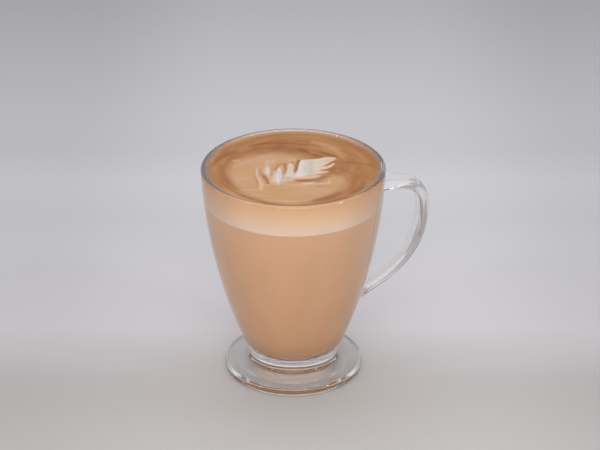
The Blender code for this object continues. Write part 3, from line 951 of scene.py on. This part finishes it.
def buildFoam(streaks, sideShadeShare, aroundAxis, foamSkin):
    p, m = leafPour, foamMesh
    grow = drinkFit["intoWall"]
    segments = m["segments"]
    floor = (coffeeHigh.z + foamLow.z) / 2 + m["hair"]
    edge = insideRadius(p["level"], grow)
    angles = np.linspace(0, 2 * pi, segments, endpoint=False)
    ring = np.column_stack([np.cos(angles), np.sin(angles)])
    heights = np.linspace(floor, p["level"] + p["meniscus"], m["sideRows"])
    side = [(insideRadius(z, grow) * ring[:, 0], insideRadius(z, grow) * ring[:, 1], np.full(segments, z))
            for z in heights]
    coarse = np.linspace(edge, m["fineRadius"], m["rings"])[1:]
    fine = np.linspace(m["fineRadius"], 0, m["fineRings"])[1:-1]
    radii = np.concatenate([[edge - m["hair"]], coarse, fine])
    x = np.concatenate([r * ring[:, 0] for r in radii] + [[0.0]])
    y = np.concatenate([r * ring[:, 1] for r in radii] + [[0.0]])
    fields = pourFields(x, y)
    radius = np.hypot(x, y)
    climb = p["meniscus"] * np.exp(-((edge - radius) / p["meniscusWidth"]) ** 2)
    z = p["level"] + p["dome"] * (1 - (radius / edge) ** 2) + climb
    z = z + p["relief"] * fields["milk"] - p["groove"] * fields["cut"]
    top = np.column_stack([x, y, z])
    verts = [point for level in side for point in zip(*level)] + [tuple(point) for point in top]
    below = len(side) * segments
    faces = ringFaces(len(side) + len(radii), segments)
    tip = len(verts) - 1
    last = tip - segments
    faces.extend((last + i, last + (i + 1) % segments, tip) for i in range(segments))
    faces.append(tuple(range(segments))[::-1])
    mesh = bpy.data.meshes.new("foamLayer")
    mesh.from_pydata([tuple(map(float, vert)) for vert in verts], [], faces)
    layer = addObject("foamLayer", mesh)
    inward = (edge - radius) / mm
    start, full = p["edgeRing"]
    fields["ring"] = np.clip((start - inward) / (start - full), 0, 1)
    middle, halfWidth, strength = p["darkRing"]
    fields["roast"] = np.maximum(fields["roast"], strength * softMask(np.abs(inward - middle), halfWidth))
    fields["surface"] = np.ones(len(x))
    for name, values in fields.items():
        attribute = layer.data.attributes.new(name, "FLOAT", "POINT")
        whole = np.concatenate([np.zeros(below), values])
        attribute.data.foreach_set("value", whole.astype(np.float32))
    pointOutwards(layer)
    layer.data.set_sharp_from_angle(angle=radians(m["sharpFrom"]))
    layer.data.materials.append(coffeeFoam(streaks, sideShadeShare, aroundAxis, foamSkin))
    settle(layer, "foam")


# Stage

stageLook = {
    # painted light and shade: the floor's tone by the distance behind the mug, darker in front of it and
    # falling off far behind
    "tones": ((-0.075, (203, 200, 198)), (-0.037, (197, 194, 191)), (-0.016, (198, 194, 193)),
              (0.006, (209, 205, 205)), (0.032, (220, 217, 219)), (0.065, (219, 216, 219)),
              (0.150, (213, 212, 214)), (0.195, (217, 216, 218)), (0.235, (208, 207, 210)),
              (0.280, (207, 206, 209)), (0.360, (199, 198, 201)), (0.460, (188, 187, 189))),
    "toneSpan": (-0.10, 0.50),
    "flank": (0.05, 0.15),
    "flankShade": 0.86,
    "middle": 0.018,
    "below": 0.1 * mm,                # a hair of air between the foot and the floor
    "radius": 1.7,
    "cove": 0.5,
    "rise": 1.3,
    "wallGlow": (0.42, 0.42, 0.42),
    "sideGlow": (0.16, 0.12, 0.11),
    "glowFrom": (1.3, 2.1),
    "sideFrom": (1.0, 1.7),
    "underFoot": (0.004, 0.020),
    "gatherTo": (0.018, 0.024),
    "underFootGain": 1.82,
    "roughness": 0.9,
    "specular": 0.1,
    "flatTo": 0.3,
    "coveSteps": 24,
    "sides": 96,
}


def paperSweep():
    # paper whose colour carries painted light and shade: its tone changes with the distance behind the mug,
    # with painted shade in front of it, and it dims to both sides
    s = stageLook
    material, tree, shader = newMaterial("paperSweep", Roughness=s["roughness"],
                                         Specular_IOR_Level=s["specular"])
    place = centredPlace(tree)
    right, away, _ = axesOf(tree, place)
    near, far = s["toneSpan"]
    share = mathNode(tree, "DIVIDE", mathNode(tree, "SUBTRACT", away, near), far - near)
    tone = colourRamp(tree, share, [((y - near) / (far - near), linear(*colour)) for y, colour in s["tones"]])
    # painted shade: the floor dims to both sides of the middle
    aside = mathNode(tree, "ABSOLUTE", mathNode(tree, "SUBTRACT", right, s["middle"]))
    flank = fadeOver(tree, aside, s["flank"])
    tone = mixColour(tree, flank, tone, tinted(tree, tone, (s["flankShade"],) * 3))
    # painted light: the floor's colour is brightened under the foot's front, where the glass foot gathers
    # light
    reach = vectorNode(tree, "LENGTH", place)
    within = fadeOver(tree, reach, s["gatherTo"][::-1])
    front = fadeOver(tree, mathNode(tree, "MULTIPLY", away, -1.0), s["underFoot"])
    paintedFootLight = tinted(tree, tone, (s["underFootGain"],) * 3)
    tone = mixColour(tree, mathNode(tree, "MULTIPLY", within, front), tone, paintedFootLight)
    plug(tree, tone, shader.inputs["Base Color"])
    # the upright wall, which the lamps miss, gets a little light of its own, and less at the sides
    beside = fadeOver(tree, mathNode(tree, "ABSOLUTE", right), s["sideFrom"])
    plug(tree, mixColour(tree, beside, s["wallGlow"], s["sideGlow"]), shader.inputs["Emission Color"])
    plug(tree, fadeOver(tree, reach, s["glowFrom"]), shader.inputs["Emission Strength"])
    return material


def buildStage(turned):
    s = stageLook
    flat = [(0.0, 0.0), (s["flatTo"], 0.0), (s["radius"], 0.0)]
    cove = arcPoints((s["radius"], s["cove"]), (s["cove"], s["cove"]), -90, 0, s["coveSteps"])[1:]
    outline = np.vstack([flat, cove, [(s["radius"] + s["cove"], s["rise"])]])
    outline[:, 1] -= s["below"]
    floor = growMesh("studioFloor", inXZ(outline), turned, {}, Sides=s["sides"], Material=paperSweep())
    print("the stage is laid")


lamps = {
    "overhead": {"place": (0.0, 0.15, 1.5), "size": 1.8, "power": 9.3, "colour": (0.93, 0.96, 1.0)},
    "window": {"place": (0.0, 1.35, 0.95), "size": 1.3, "power": 2.8, "colour": (0.90, 0.95, 1.0),
               "unseen": True},
    "front": {"place": (0.0, -1.45, 1.25), "size": 1.3, "power": 11.7, "colour": (1.0, 0.985, 0.97)},
    "left": {"place": (-1.05, -0.55, 0.95), "size": 0.18, "power": 1.6, "colour": (1.0, 0.98, 0.96)},
    "right": {"place": (1.05, -0.55, 0.95), "size": 0.18, "power": 1.6, "colour": (1.0, 0.98, 0.96)},
}

lampsAimAt = (0.0, 0.0, 0.05)

studioAir = {"colour": (0.88, 0.91, 0.97), "strength": 0.33, "seenInGlass": 0.80}

cameraSetup = {
    "azimuth": -12.5,
    "distance": 0.997,
    "height": 0.5775,
    "aimHeight": 0.0723,
    "aimRight": 0.0030,
    "lens": 146.4,
    "sensor": 36.0,
    "clip": (0.05, 20.0),
}


def viewFrame(x, y, z):
    # a place given as the camera sees it: x to its right, y away from it
    a = radians(cameraSetup["azimuth"])
    return bowlAxis + Vector((x * cos(a) - y * sin(a), x * sin(a) + y * cos(a), z))


def aimAt(obj, target):
    obj.rotation_euler = (target - obj.location).to_track_quat("-Z", "Y").to_euler()


def buildLamps():
    for name, lamp in lamps.items():
        light = bpy.data.lights.new(name, "AREA")
        light.shape = "SQUARE"
        light.size = lamp["size"]
        light.energy = lamp["power"]
        light.color = lamp["colour"]
        obj = addObject(name, light)
        if lamp.get("unseen"):
            # it lights the mug, but shows in no reflection and not through the glass
            obj.visible_glossy = obj.visible_transmission = False
        obj.location = viewFrame(*lamp["place"])
        aimAt(obj, viewFrame(*lampsAimAt))
    world = bpy.data.worlds.new("studio")
    world.use_nodes = True
    tree = world.node_tree
    path = addNode(tree, "ShaderNodeLightPath")
    seen = mathNode(tree, "MAXIMUM", path.outputs["Is Glossy Ray"], path.outputs["Is Transmission Ray"])
    strength = addNode(tree, "ShaderNodeMapRange")
    plug(tree, seen, strength.inputs["Value"])
    strength.inputs["To Min"].default_value = studioAir["strength"]
    strength.inputs["To Max"].default_value = studioAir["seenInGlass"]
    tree.nodes["Background"].inputs[0].default_value = (*studioAir["colour"], 1)
    plug(tree, strength.outputs[0], tree.nodes["Background"].inputs[1])
    bpy.context.scene.world = world
    print("the lamps are lit")


def buildCamera():
    c = cameraSetup
    camera = bpy.data.cameras.new("camera")
    camera.lens = c["lens"]
    camera.sensor_width = c["sensor"]
    camera.clip_start, camera.clip_end = c["clip"]
    obj = addObject("camera", camera)
    obj.location = viewFrame(0, -c["distance"], c["height"])
    aimAt(obj, viewFrame(c["aimRight"], 0, c["aimHeight"]))
    bpy.context.scene.camera = obj
    print("the camera is in place")


buildCamera()
turned, streaks, sideShadeShare = makeTurned(), makeStreaks(), makeSideShadeShare()
buildMug(clearGlass(), turned)
buildCoffee(turned, streaks, sideShadeShare)
buildFoam(streaks, sideShadeShare, makeAroundAxis(), makeFoamSkin())
buildStage(turned)
buildLamps()
bpy.context.scene.view_settings.view_transform = "Standard"
